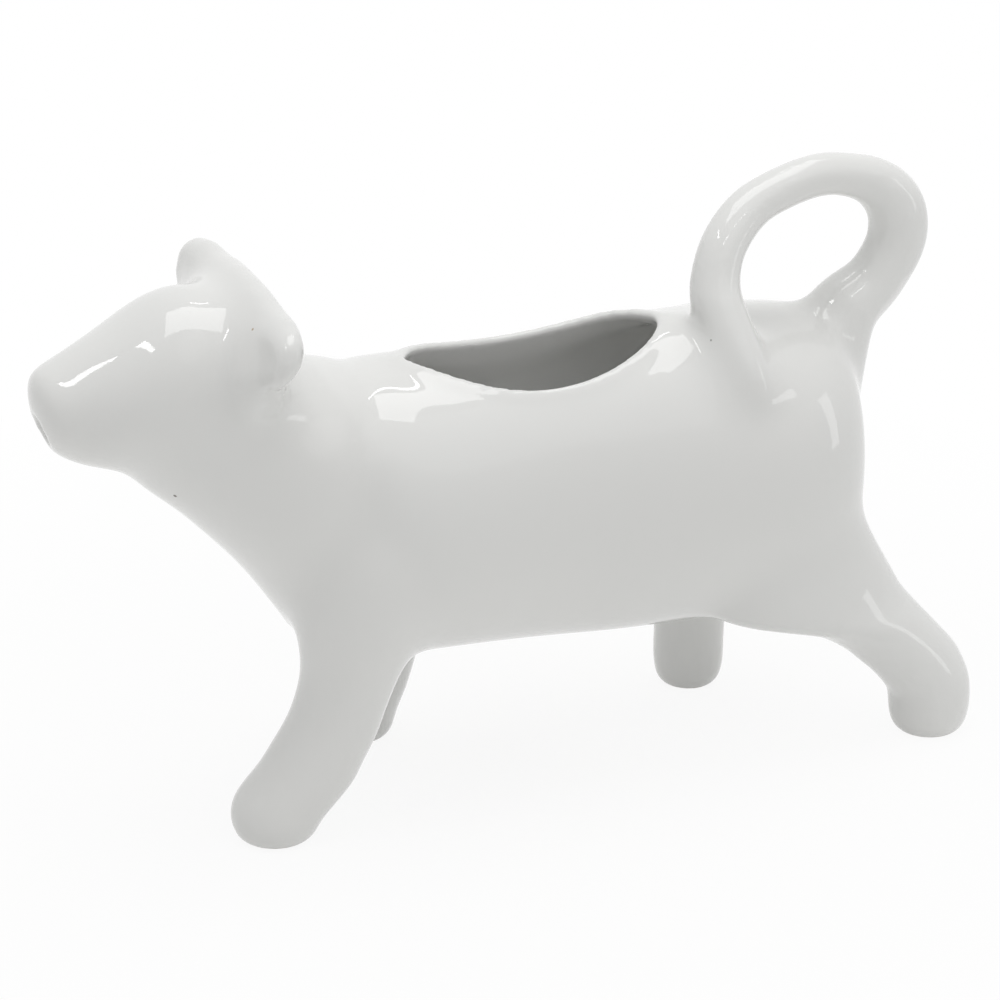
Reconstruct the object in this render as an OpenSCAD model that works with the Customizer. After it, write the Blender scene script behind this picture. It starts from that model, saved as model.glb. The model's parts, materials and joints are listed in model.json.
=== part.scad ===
// A small cream jug in the shape of a standing cow, in white glazed porcelain.
// It is filled through the opening in the back and poured from the mouth, and
// the curled tail is the handle. The head looks along -X, the cow's left side
// faces -Y, and the soles of its feet stand on the plane z = 0.
// The jug is pressed and luted from ten parts of clay before it is fired: each
// part meets its neighbour face to face at a flat joint, and the barrel is two
// halves that meet in the middle plane.

/* [Barrel] */
// Length of the barrel, from the chest to the rump
barrel_l = 112; // [104:1:122]
// Width of the barrel over the haunches
barrel_w = 50; // [45:1:56]
// Height of the barrel, from the belly to the back
barrel_h = 57; // [51:1:62]
// Height of the belly above the table
belly_z = 23; // [20:1:28]
// Thickness of the porcelain wall
wall = 3.5; // [2.5:0.1:4.5]

/* [Filling opening] */
// Length of the opening in the back
fill_l = 48; // [38:1:54]
// Width of the opening in the back
fill_w = 25.6; // [20:0.2:30]
// Distance from the chest to the front end of the opening
fill_x = 26; // [24:1:30]

/* [Head] */
// Reach of the neck and head, from their root in the barrel to the nose
head_l = 62; // [54:1:70]
// Rise of the poll above the middle of the barrel
head_h = 47; // [42:1:54]
// Width of the neck where it leaves the shoulders
neck_w = 41; // [36:1:45]
// Distance of the neck's root behind the chest
neck_root = 22; // [20:1:25]
// Diameter of the pour hole in the muzzle
spout_d = 5; // [4:0.2:6]
// Angle by which the pour hole dips towards the front
spout_dip = 22; // [10:1:30]

/* [Ears] */
// Width across the tips of both ears
ear_span = 56; // [50:1:62]
// Height of an ear where it leaves the head
ear_h = 15; // [13:1:18]
// Thickness of an ear where it leaves the head
ear_t = 7.8; // [7:0.2:10]
// Angle by which the top of an ear leans back
ear_lean = 26; // [20:1:40]

/* [Tail handle] */
// Length of the handle, from the front of the loop to its back
handle_l = 40; // [34:1:46]
// Height of the handle's top above the back
handle_h = 26; // [22:1:32]
// Thickness of the handle at its top
handle_t = 7.6; // [6:0.2:9]
// Distance by which the tip of the tail hangs over the left flank
handle_hang = 17.5; // [15:0.5:19]

/* [Legs] */
// Thickness of the left foreleg
left_fore_d = 15.4; // [13:0.2:17]
// Thickness of the right foreleg
right_fore_d = 14; // [12:0.2:16]
// Thickness of the left hind leg
left_hind_d = 15; // [13:0.2:17]
// Thickness of the right hind leg
right_hind_d = 13.2; // [12:0.2:16]
// Length of a shoulder along the barrel
shoulder_l = 27; // [22:1:32]
// Length of a haunch along the barrel
haunch_l = 38; // [32:1:42]
// Width of a shoulder or a haunch across the barrel
haunch_w = 22.6; // [20:0.2:24]
// Distance of each hip and shoulder from the middle plane
hip_y = 12; // [11.5:0.1:13]
// Distance of the left shoulder behind the chest
left_shoulder_x = 17.6; // [15:0.1:20]
// Distance of the right shoulder behind the chest
right_shoulder_x = 30.5; // [24:0.5:34]
// Distance of the left hip in front of the rump
left_hip_x = 18; // [16:1:22]
// Distance of the right hip in front of the rump
right_hip_x = 22.5; // [20:0.5:28]
// Distance of the left fore foot in front of its shoulder
left_fore_step = 20.4; // [14:0.1:22]
// Distance of the right fore foot in front of its shoulder
right_fore_step = 7; // [2:0.5:12]
// Distance of the left hind foot behind its hip
left_hind_step = 28; // [22:0.2:32]
// Distance of the right hind foot in front of its hip
right_hind_step = 0.5; // [0:0.5:6]
// Distance of the left fore foot from the middle plane
left_fore_track = 13.4; // [11:0.2:18]
// Distance of the right fore foot from the middle plane
right_fore_track = 17.8; // [11:0.2:18]
// Distance of the left hind foot from the middle plane
left_hind_track = 19.3; // [14:0.1:20]
// Distance of the right hind foot from the middle plane
right_hind_track = 14.8; // [12:0.2:19]

/* [Hidden] */

// Points round a ring of the barrel and the head, of a leg, and of a thin form
body_sides = 40;
leg_sides = 24;
thin_sides = 20;
// Rings laid between two rows of a table
spans = 2;
// Sides of the pour hole
$fn = 48;
// How far a cut reaches past the surface that it opens
overrun = wall;

// Places on the barrel, measured from its middle
chest_x = -barrel_l / 2;
rump_x = barrel_l / 2;
axis_z = belly_z + barrel_h / 2;
back_z = belly_z + barrel_h;
neck_x = chest_x + neck_root;
nose_x = neck_x - head_l;

// Place of the middle of the whole jug, which goes to the origin
heel_share = 0.54;
heel_x = rump_x - left_hip_x + left_hind_step + left_hind_d * heel_share;
centre_x = (nose_x + heel_x) / 2;

// Rows of the barrel: place along it, rise of the middle, width and height
barrel_shares = [
    [0.000, 0.02, 0.04, 0.04],
    [0.010, 0.02, 0.26, 0.28],
    [0.040, 0.02, 0.52, 0.55],
    [0.09, 0.02, 0.75, 0.78],
    [0.16, 0.03, 0.90, 0.915],
    [0.27, 0.025, 0.95, 0.93],
    [0.43, 0.02, 0.92, 0.965],
    [0.57, 0.012, 0.94, 0.995],
    [0.72, 0.015, 0.98, 1.015],
    [0.84, 0.005, 0.97, 0.975],
    [0.92, 0.01, 0.86, 0.91],
    [0.970, 0.01, 0.64, 0.75],
    [0.993, 0.01, 0.34, 0.42],
    [1.000, 0.01, 0.07, 0.08]
];
// How square the barrel's rings are: 1 is an ellipse, less is squarer
barrel_square_share = 0.94;

// Rows of the neck and head: the throat's place, forward and up from the
// root, then the nape's place, then the width
head_shares = [
    [0.262, -0.42, -0.06, 0.45, 0.84],
    [0.403, -0.135, 0.08, 0.605, 0.955],
    [0.517, 0.045, 0.19, 0.65, 0.91],
    [0.60, 0.16, 0.29, 0.75, 0.83],
    [0.68, 0.255, 0.39, 0.91, 0.76],
    [0.735, 0.325, 0.50, 0.99, 0.72],
    [0.79, 0.365, 0.62, 0.98, 0.67],
    [0.855, 0.395, 0.742, 0.90, 0.58],
    [0.91, 0.43, 0.847, 0.83, 0.47],
    [0.948, 0.475, 0.925, 0.78, 0.40],
    [0.972, 0.545, 0.972, 0.74, 0.27],
    [0.985, 0.62, 0.99, 0.67, 0.05]
];
// How many rows lie before the joint with the barrel, and in the hollow part
neck_row_count = 2;
hollow_row_count = 9;
// Place of the pour hole's mouth, forward and up from the neck's root
spout_shares = [0.975, 0.53];

// Rows of an ear: place along the half span, drop, height and thickness
ear_shares = [
    [0, 0, 0.88, 1],
    [0.26, 0.06, 0.95, 1],
    [0.53, 0.15, 1, 1],
    [0.69, 0.13, 0.96, 0.92],
    [0.84, 0.10, 0.82, 0.80],
    [0.95, 0.07, 0.55, 0.58],
    [1, 0.06, 0.12, 0.12]
];
// How many rows lie inside an ear's joint with the head
ear_row_count = 2;
// Place of the crest between the ears, forward and up from the neck's root
crest_shares = [0.407, 0.90];

// Rows of the tail: place along the handle, height, hang and thickness
tail_shares = [
    [0.52, -1.00, 0, 3.0],
    [0.625, -0.54, 0, 2.5],
    [0.74, -0.14, 0, 1.90],
    [0.86, 0.02, 0, 1.58],
    [0.95, 0.16, 0, 1.42],
    [1.015, 0.36, 0, 1.40],
    [0.995, 0.60, 0, 1.38],
    [0.885, 0.78, 0, 1.18],
    [0.75, 0.86, 0, 1.02],
    [0.585, 0.885, 0.01, 1.0],
    [0.37, 0.81, 0.05, 1.0],
    [0.245, 0.73, 0.11, 1.04],
    [0.15, 0.62, 0.20, 1.07],
    [0.08, 0.48, 0.29, 1.1],
    [0.045, 0.33, 0.37, 1.16],
    [0.035, 0.205, 0.46, 1.22],
    [0.05, 0.04, 0.63, 1.24],
    [0.075, -0.13, 0.83, 1.16],
    [0.10, -0.28, 0.98, 1.0],
    [0.12, -0.44, 1.05, 0.75]
];
// How many rows lie before the handle's joints with the barrel, back and front
tail_back_row_count = 2;
tail_front_row_count = 15;
// Place of the front of the handle, and of the loop's middle behind it
loop_share = 0.775;
handle_front_x = rump_x - handle_l * loop_share;

// Rows of a foreleg and a hind leg: height, way from foot to hip, and bulk
fore_shares = [
    [0, 0, -0.38],
    [0.01, 0, -0.18],
    [0.035, 0, -0.05],
    [0.08, 0.03, 0],
    [0.14, 0.13, 0],
    [0.20, 0.26, 0],
    [0.27, 0.385, 0],
    [0.34, 0.495, 0],
    [0.42, 0.595, 0.02],
    [0.54, 0.71, 0.13],
    [0.66, 0.80, 0.47],
    [0.82, 0.90, 0.85],
    [1.00, 1, 0.9],
    [1.17, 1, 0.2]
];
hind_shares = [
    [0, 0, -0.42],
    [0.01, 0, -0.24],
    [0.035, 0, -0.10],
    [0.08, 0, -0.02],
    [0.13, 0, 0],
    [0.19, 0.025, 0],
    [0.27, 0.11, 0],
    [0.35, 0.235, 0.04],
    [0.42, 0.39, 0.18],
    [0.47, 0.56, 0.46],
    [0.51, 0.75, 0.86],
    [0.555, 0.85, 1],
    [0.655, 0.93, 0.96],
    [0.83, 0.985, 0.72],
    [1.00, 1, 0.6],
    [1.17, 1, 0.2]
];
// How many rows lie below a leg's joint with the barrel
leg_row_count = 7;

// Value of a table between its rows, on a smooth curve; t counts the rows
function row_at(rows, t) =
    let (last = len(rows) - 1,
         i = min(floor(t), last - 1),
         u = t - i,
         a = rows[max(i - 1, 0)],
         b = rows[i],
         c = rows[i + 1],
         d = rows[min(i + 2, last)])
    b + u * ((c - a) / 2
        + u * (a - 2.5 * b + 2 * c - d / 2
        + u * (1.5 * (b - c) + (d - a) / 2)));

// Places along a table from one row to another
function row_steps(from, to) = [for (i = [0 : (to - from) * spans]) from + i / spans];

function rounded(v, share) = sign(v) * pow(abs(v), share);

// A ring of the barrel, which runs along X, drawn in from the skin by inset
function barrel_ring(row, inset) =
    let (shrink = (barrel_l - 2 * inset) / barrel_l,
         x = (row[0] - 0.5) * barrel_l * shrink,
         z = axis_z + row[1] * barrel_h,
         w = max(row[2] * barrel_w / 2 - inset, row[2] * wall),
         h = max(row[3] * barrel_h / 2 - inset, row[3] * wall))
    [for (k = [0 : body_sides - 1])
        let (a = 360 * (k + 0.5) / body_sides)
        [x,
         w * rounded(cos(a), barrel_square_share),
         z + h * rounded(sin(a), barrel_square_share)]];

// A ring of the neck and head, from the throat over the side to the nape
function head_ring(row, inset) =
    let (low = [neck_x - row[0] * head_l, axis_z + row[1] * head_h],
         high = [neck_x - row[2] * head_l, axis_z + row[3] * head_h],
         middle = (low + high) / 2,
         reach = norm(high - low) / 2,
         up = (high - low) / (2 * reach) * (reach - inset),
         w = row[4] * neck_w / 2 - inset)
    [for (k = [0 : body_sides - 1])
        let (a = 360 * (k + 0.5) / body_sides)
        [middle.x + up.x * cos(a), w * sin(a), middle.y + up.y * cos(a)]];

// A flat ring of a leg, from its sole to its hip, longer where the leg leans
function leg_ring(rows, t, leg) =
    let (row = row_at(rows, t),
         last = len(rows) - 1,
         ahead = row_at(rows, min(t + 1 / spans, last)),
         behind = row_at(rows, max(t - 1 / spans, 0)),
         way = leg[1] - leg[0],
         lean = (ahead[1] - behind[1]) * way / ((ahead[0] - behind[0]) * axis_z),
         centre = leg[0] + row[1] * way,
         r = leg[2] / 2,
         bulk = max(row[2], 0),
         foot = 1 + min(row[2], 0),
         rx = r * min(norm([1, lean.x]), stretch_share),
         ry = r * min(norm([1, lean.y]), stretch_share))
    [for (k = [0 : leg_sides - 1])
        let (a = 360 * k / leg_sides)
        [centre.x + (rx + bulk * (leg[3] / 2 - rx)) * foot * cos(a),
         centre.y + (ry + bulk * (haunch_w / 2 - ry)) * foot * sin(a),
         row[0] * axis_z]];

// The most that a leaning leg's flat rings are stretched
stretch_share = 1.3;

// A ring of an ear, which stands out along Y; places before 0 are the left's
function ear_ring(place) =
    let (row = row_at(ear_shares, abs(place)),
         centre = [neck_x - crest_shares[0] * head_l,
                   axis_z + crest_shares[1] * head_h - row[1] * ear_h],
         h = row[2] * ear_h / 2,
         t = row[3] * ear_t / 2)
    [for (k = [0 : thin_sides - 1])
        let (a = 360 * k / thin_sides)
        [centre.x + h * sin(ear_lean) * cos(a) + t * cos(ear_lean) * sin(a),
         sign(place) * row[0] * ear_span / 2,
         centre.y + h * cos(ear_lean) * cos(a) - t * sin(ear_lean) * sin(a)]];

function tail_point(row) =
    [handle_front_x + row[0] * handle_l, -row[2] * handle_hang, back_z + row[1] * handle_h];

// A ring of the tail, square to the way that it runs
function tail_ring(t) =
    let (last = len(tail_shares) - 1,
         row = row_at(tail_shares, t),
         nudge = 1 / (4 * spans),
         ahead = tail_point(row_at(tail_shares, min(t + nudge, last))),
         behind = tail_point(row_at(tail_shares, max(t - nudge, 0))),
         way = (ahead - behind) / norm(ahead - behind),
         flat = cross([0, 1, 0], way),
         out = flat / norm(flat),
         side = cross(way, out),
         r = row[3] * handle_t / 2)
    [for (k = [0 : thin_sides - 1])
        let (a = 360 * (k + 0.5) / thin_sides)
        tail_point(row) + r * (cos(a) * out + sin(a) * side)];

// Foot, hip, thickness and length of the haunch of each leg
front_left = [[chest_x + left_shoulder_x - left_fore_step, -left_fore_track],
              [chest_x + left_shoulder_x, -hip_y], left_fore_d, shoulder_l];
front_right = [[chest_x + right_shoulder_x - right_fore_step, right_fore_track],
               [chest_x + right_shoulder_x, hip_y], right_fore_d, shoulder_l];
rear_left = [[rump_x - left_hip_x + left_hind_step, -left_hind_track],
             [rump_x - left_hip_x, -hip_y], left_hind_d, haunch_l];
rear_right = [[rump_x - right_hip_x - right_hind_step, right_hind_track],
              [rump_x - right_hip_x, hip_y], right_hind_d, haunch_l];

// A closed skin over a list of rings that turn alike
module skin(rings) {
    n = len(rings[0]);
    last = (len(rings) - 1) * n;
    sides = [for (i = [0 : n : last - n], k = [0 : n - 1])
        let (a = i + k, b = i + (k + 1) % n)
        each [[a, b + n, b], [a, a + n, b + n]]];
    polyhedron(
        points = [for (ring = rings) each ring],
        faces = concat([[for (k = [0 : n - 1]) k]], sides,
                       [[for (k = [n - 1 : -1 : 0]) last + k]]));
}

module barrel_skin(inset) {
    skin([for (t = row_steps(0, len(barrel_shares) - 1))
        barrel_ring(row_at(barrel_shares, t), inset)]);
}

module head_skin(from, to, inset) {
    skin([for (t = row_steps(from, to)) head_ring(row_at(head_shares, t), inset)]);
}

module leg_skin(rows, leg, from, to) {
    skin([for (t = row_steps(from, to)) leg_ring(rows, t, leg)]);
}

module ear_skin(from, to) {
    skin([for (t = row_steps(from, to)) if (t != 0) ear_ring(t)]);
}

module tail_skin(from, to) {
    skin([for (t = row_steps(from, to)) tail_ring(t)]);
}

// The space that holds the cream, from the rump to the muzzle. Its rings lie a
// third of a step off the rows, so that none lies in the plane of the neck joint.
module milk_chamber() {
    part_step = 0.35 / spans;
    barrel_skin(wall);
    head_skin(part_step, hollow_row_count - part_step, wall);
}

// The opening in the back: pointed in front, round at the back
module fill_cut() {
    half = fill_l / 2;
    outline = [for (k = [0 : body_sides - 1])
        let (a = 360 * k / body_sides,
             point = cos(a) > 0 ? fill_point_share : 1)
        [chest_x + fill_x + half - half * cos(a),
         fill_w / 2 * rounded(sin(a), point)]];
    translate([0, 0, axis_z])
        linear_extrude(height = barrel_h / 2 + overrun)
            polygon(outline);
}
// How pointed the front of the opening is: 1 is an ellipse
fill_point_share = 1.4;

module pour_hole() {
    translate([neck_x - spout_shares[0] * head_l, 0, axis_z + spout_shares[1] * head_h])
        rotate([0, -90 - spout_dip, 0])
            translate([0, 0, -3 * wall])
                cylinder(d = spout_d, h = 3 * wall + overrun);
}

// Puts the middle of the jug over the origin
module placed() {
    translate([-centre_x, 0, 0])
        children();
}

// The barrel, with its shoulders, haunches, lower neck and the tail's two roots
module barrel() {
    difference() {
        union() {
            barrel_skin(0);
            head_skin(0, neck_row_count, 0);
            leg_skin(fore_shares, front_left, leg_row_count, len(fore_shares) - 1);
            leg_skin(fore_shares, front_right, leg_row_count, len(fore_shares) - 1);
            leg_skin(hind_shares, rear_left, leg_row_count, len(hind_shares) - 1);
            leg_skin(hind_shares, rear_right, leg_row_count, len(hind_shares) - 1);
            tail_skin(0, tail_back_row_count);
            tail_skin(tail_front_row_count, len(tail_shares) - 1);
        }
        milk_chamber();
        fill_cut();
    }
}

// The space on one side of the middle plane: side is -1 on the left, 1 on the right
module flank_space(side) {
    translate([nose_x, side < 0 ? -barrel_w : 0, 0])
        cube([heel_x - nose_x, barrel_w, back_z + handle_h]);
}

module left_barrel_half() {
    color("whitesmoke")
    placed()
    resize([0, 0, 0])
    intersection() {
        barrel();
        flank_space(-1);
    }
}

module right_barrel_half() {
    color("gainsboro")
    placed()
    resize([0, 0, 0])
    intersection() {
        barrel();
        flank_space(1);
    }
}

// The head with its upper neck, and the crest that carries the ears
module head() {
    color("white")
    placed()
    difference() {
        resize([0, 0, 0])
        difference() {
            union() {
                head_skin(neck_row_count, len(head_shares) - 1, 0);
                ear_skin(-ear_row_count, ear_row_count);
            }
            milk_chamber();
        }
        pour_hole();
    }
}

module right_ear() {
    color("snow")
    placed()
    ear_skin(ear_row_count, len(ear_shares) - 1);
}

module left_ear() {
    color("snow")
    placed()
    mirror([0, 1, 0])
        ear_skin(ear_row_count, len(ear_shares) - 1);
}

module tail_handle() {
    color("ghostwhite")
    placed()
    tail_skin(tail_back_row_count, tail_front_row_count);
}

module front_left_leg() {
    color("snow")
    placed()
    leg_skin(fore_shares, front_left, 0, leg_row_count);
}

module front_right_leg() {
    color("snow")
    placed()
    leg_skin(fore_shares, front_right, 0, leg_row_count);
}

module rear_left_leg() {
    color("snow")
    placed()
    leg_skin(hind_shares, rear_left, 0, leg_row_count);
}

module rear_right_leg() {
    color("snow")
    placed()
    leg_skin(hind_shares, rear_right, 0, leg_row_count);
}

left_barrel_half();
right_barrel_half();
head();
left_ear();
right_ear();
tail_handle();
front_left_leg();
front_right_leg();
rear_left_leg();
rear_right_leg();
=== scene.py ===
# %% [markdown]
# # A cream jug in the shape of a walking cow
#
# The real jug is white porcelain. Its hollow barrel is pressed in two half
# moulds, its head, ears, legs and tail are luted on with slip, and one clear
# glaze then runs over all of it, so nothing on it has a sharp corner or a seam.
# The frame that is loaded here holds the same ten parts as plain solids. Each
# part could be dressed by itself, but every joint would then show in the gloss.
# So this script grows one soft skin over all the forms, hollows it, divides it
# at the joints again and glazes it.

# %% Load the frame
import json
import math

import bmesh
import bpy
import numpy as np
from mathutils import Matrix, Vector
from mathutils.bvhtree import BVHTree

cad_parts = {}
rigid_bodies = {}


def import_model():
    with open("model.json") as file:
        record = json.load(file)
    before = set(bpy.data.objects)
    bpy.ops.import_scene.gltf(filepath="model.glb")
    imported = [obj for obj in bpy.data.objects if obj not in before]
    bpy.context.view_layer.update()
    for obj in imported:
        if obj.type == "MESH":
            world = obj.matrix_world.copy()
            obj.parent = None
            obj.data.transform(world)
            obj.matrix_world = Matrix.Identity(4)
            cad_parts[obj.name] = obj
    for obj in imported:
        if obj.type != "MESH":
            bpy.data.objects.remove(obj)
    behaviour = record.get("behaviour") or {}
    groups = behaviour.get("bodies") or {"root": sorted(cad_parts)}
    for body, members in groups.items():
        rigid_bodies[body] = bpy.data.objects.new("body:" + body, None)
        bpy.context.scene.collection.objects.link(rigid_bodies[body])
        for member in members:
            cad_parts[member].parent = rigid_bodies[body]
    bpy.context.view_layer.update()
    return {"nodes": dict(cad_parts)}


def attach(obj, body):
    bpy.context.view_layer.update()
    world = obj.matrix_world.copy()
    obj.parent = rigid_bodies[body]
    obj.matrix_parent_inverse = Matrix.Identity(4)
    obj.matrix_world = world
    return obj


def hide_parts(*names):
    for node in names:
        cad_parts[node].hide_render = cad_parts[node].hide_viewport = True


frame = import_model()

MM = 0.001
print("nodes", sorted(frame["nodes"]))

# %% [markdown]
# ## Sizes
#
# The potter's drawing comes first: the driving sizes of the jug in millimetres,
# the same ones that its solids were made from. They could be measured on the
# solids, but a form is easier to follow from the numbers behind it. Places along
# X are counted from the middle of the barrel and moved over the origin at the
# end.

# %% Driving sizes
BARREL_L, BARREL_W, BARREL_H, BELLY_Z, WALL = 112, 50, 57, 23, 3.5
FILL_L, FILL_W, FILL_X = 48, 25.6, 26
HEAD_L, HEAD_H, NECK_W, NECK_ROOT = 62, 47, 41, 22
POUR_D, POUR_DIP = 5, 22
EAR_SPAN, EAR_H, EAR_T, EAR_LEAN = 56, 15, 7.8, 26
HANDLE_L, HANDLE_H, HANDLE_T, HANDLE_HANG = 40, 26, 7.6, 17.5
SHOULDER_L, HAUNCH_L, HAUNCH_W, HIP_Y = 27, 38, 22.6, 12

CHEST_X, RUMP_X = -BARREL_L / 2, BARREL_L / 2
AXIS_Z = BELLY_Z + BARREL_H / 2
BACK_Z = BELLY_Z + BARREL_H
NECK_X = CHEST_X + NECK_ROOT
HANDLE_FORWARD = 0.775
HANDLE_X = RUMP_X - HANDLE_L * HANDLE_FORWARD
MIDDLE_X = 10.95
SIDES = (-1, 1)  # left and right
print("middle of the barrel at x", MIDDLE_X, "mm, its axis", AXIS_Z, "mm up")

# %% [markdown]
# ## Rows and rings
#
# Each form of the jug is a loft: a table gives its size at a few rows, a smooth
# curve lays more rows between them, and each row becomes a ring. Straight steps
# between the rows would be simpler, but a glossy surface shows every sudden
# change of bend in its reflections. A natural cubic spline is used for the curve,
# because its bend changes evenly.

# %% A smooth curve through a table
SPANS = 6


def smooth_rows(rows):
    """The rows of a table with more laid between them on a cubic spline."""
    rows = np.array(rows, float)
    last = len(rows) - 1
    system = np.eye(last + 1)
    for i in range(1, last):
        system[i, i - 1:i + 2] = 1, 4, 1
    bend = np.zeros_like(rows)
    bend[1:-1] = 6 * (rows[2:] - 2 * rows[1:-1] + rows[:-2])
    bend = np.linalg.solve(system, bend)
    place = np.linspace(0, last, last * SPANS + 1)
    i = np.minimum(place.astype(int), last - 1)
    u = (place - i)[:, None]
    return ((1 - u) * rows[i] + u * rows[i + 1]
            + ((1 - u) ** 3 - (1 - u)) * bend[i] / 6 + (u ** 3 - u) * bend[i + 1] / 6)


def turn(sides):
    """The angles of the points round a ring."""
    return np.arange(sides) * 2 * math.pi / sides


def rounded(value, power):
    """A sine or cosine to a power, with its sign: squarer under 1, more pointed over 1."""
    return np.sign(value) * np.abs(value) ** power


def eased(share):
    """A share from 0 to 1 that starts and ends softly."""
    return share * share * (3 - 2 * share)


def unit(rows):
    """The rows with a length of 1 each."""
    return rows / np.linalg.norm(rows, axis=1)[:, None]


print("each row of a table is divided into", SPANS)

# %% A closed skin over rings
def placed(name, data):
    """A new object in the scene."""
    thing = bpy.data.objects.new(name, data)
    bpy.context.scene.collection.objects.link(thing)
    return thing


def finished(name, bm):
    """A new object with the mesh that was built in bm."""
    mesh = bpy.data.meshes.new(name)
    bm.to_mesh(mesh)
    bm.free()
    return placed(name, mesh)


def loft(name, rings, joined=False):
    """Circles pulled onto the rings' points and bridged pair by pair.

    The first and the last ring are closed, or bridged to each other if joined.
    """
    bm = bmesh.new()
    before, first = None, None
    for k, ring in enumerate(rings):
        closed = k in (0, len(rings) - 1) and not joined
        made = bmesh.ops.create_circle(bm, cap_ends=closed, segments=len(ring), radius=MM)
        edges = list({e for v in made["verts"] for e in v.link_edges})
        for vert, point in zip(made["verts"], ring):
            vert.co = Vector(point) * MM
        if before:
            bmesh.ops.bridge_loops(bm, edges=before + edges)
        before, first = edges, first or edges
    if joined:
        bmesh.ops.bridge_loops(bm, edges=before + first)
    bmesh.ops.recalc_face_normals(bm, faces=bm.faces)
    form = finished(name, bm)
    print(f"{name}: {len(rings)} rings, {len(form.data.polygons)} faces")
    return form

# %% [markdown]
# ## The barrel
#
# The trunk is a fat egg that lies along X. A stretched sphere would be quicker,
# but its back, belly, chest and rump all bulge differently, so it is a loft. Its
# rows say how far along it a ring lies, how much its middle is raised, and how
# wide and how high it is. The hollow inside it is the same form, drawn in by the
# thickness of the wall.

# %% The barrel and its hollow
BARREL = [  # along, rise, width, height, as shares of the barrel's sizes
    [0, .02, .04, .04], [.01, .02, .26, .28], [.04, .02, .52, .55], [.09, .02, .75, .78],
    [.16, .03, .90, .915], [.27, .025, .95, .93], [.43, .02, .92, .965],
    [.57, .012, .94, .995], [.72, .015, .98, 1.015], [.84, .005, .97, .975],
    [.92, .01, .86, .91], [.97, .01, .64, .75], [.993, .01, .34, .42], [1, .01, .07, .08],
]
BODY_SIDES = 96
BARREL_POWER = .94


def barrel_rings(inset=0):
    """Rings of the barrel, drawn in from its skin by inset."""
    a = turn(BODY_SIDES)
    shrink = (BARREL_L - 2 * inset) / BARREL_L
    for along, rise, width, height in smooth_rows(BARREL):
        w = max(width * BARREL_W / 2 - inset, width * WALL)
        h = max(height * BARREL_H / 2 - inset, height * WALL)
        yield np.stack([np.full(BODY_SIDES, MIDDLE_X + (along - .5) * BARREL_L * shrink),
                        w * rounded(np.cos(a), BARREL_POWER),
                        AXIS_Z + rise * BARREL_H + h * rounded(np.sin(a), BARREL_POWER)], 1)


barrel_form = loft("barrel_form", list(barrel_rings()))
barrel_hollow = loft("barrel_hollow", list(barrel_rings(WALL)))

# %% [markdown]
# ## Neck and head
#
# The head is plain on the real jug: a neck that narrows, cheeks and a round
# muzzle, with nothing modelled on them. Sculpting would give that shape too, but
# a loft keeps both cheeks alike and the wall even. Each row names the throat's
# point and the nape's point, and the ring stands square between them.

# %% The head and its hollow
HEAD = [  # throat forward and up, nape forward and up, width, as shares of the head's sizes
    [.262, -.42, -.06, .45, .84], [.403, -.135, .08, .605, .955], [.517, .045, .19, .65, .91],
    [.60, .16, .29, .75, .83], [.68, .255, .39, .91, .76], [.735, .325, .50, .99, .72],
    [.79, .365, .62, .98, .67], [.855, .395, .742, .90, .58], [.91, .43, .847, .83, .47],
    [.948, .475, .925, .78, .40], [.972, .545, .972, .74, .27], [.985, .62, .99, .67, .05],
]
HOLLOW_ROWS = (0.5, 8.5)  # the rows between which the head is hollow


def head_rings(inset=0, first=0, last=len(HEAD) - 1):
    """Rings of the neck and head, from the first row to the last, drawn in by inset."""
    a = turn(BODY_SIDES)
    rows = smooth_rows(HEAD)[round(first * SPANS):round(last * SPANS) + 1]
    for low_x, low_z, high_x, high_z, width in rows:
        low = np.array([NECK_X - low_x * HEAD_L, 0, AXIS_Z + low_z * HEAD_H])
        high = np.array([NECK_X - high_x * HEAD_L, 0, AXIS_Z + high_z * HEAD_H])
        reach = np.linalg.norm(high - low) / 2
        up = (high - low) / (2 * reach) * (reach - inset)
        w = width * NECK_W / 2 - inset
        yield ((low + high) / 2 + [MIDDLE_X, 0, 0] + np.outer(np.cos(a), up)
               + np.outer(np.sin(a), [0, w, 0]))


def head_point(forward, up):
    """A point in the jug's middle plane, from shares of the head's length and height."""
    return np.array([NECK_X - forward * HEAD_L + MIDDLE_X, 0, AXIS_Z + up * HEAD_H])


head_form = loft("head_form", list(head_rings()))
head_hollow = loft("head_hollow", list(head_rings(WALL, *HOLLOW_ROWS)))

# %% [markdown]
# ## Ears
#
# Both ears are one band of clay that is laid over the poll, pinched thin at its
# tips and pressed hollow on its front with a thumb. Two ears made apart would
# leave a crease on the poll that the real jug doesn't have. The loft runs from
# tip to tip with a ring about every millimetre, and the thumb's mark is a dent in
# the front half of each ring.

# %% The band that carries both ears
EAR = [  # place, drop, height, thickness, as shares of half the span and the ear's sizes
    [0, 0, .88, 1], [.26, .06, .95, 1], [.53, .15, 1, 1], [.69, .13, .96, .92],
    [.84, .10, .82, .80], [.95, .07, .55, .58], [1, .06, .12, .12],
]
EAR_PLACE = head_point(.407, .90)
THIN_SIDES = 64
CUP_DEPTH, CUP_POWER = 1.15, 1.5
CUP_STARTS, CUP_GROWS, CUP_STOPS, CUP_FADES = .46, .25, .99, .12  # along the band
CUP_LOW, CUP_HALF = .3, .72  # across the band


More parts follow.
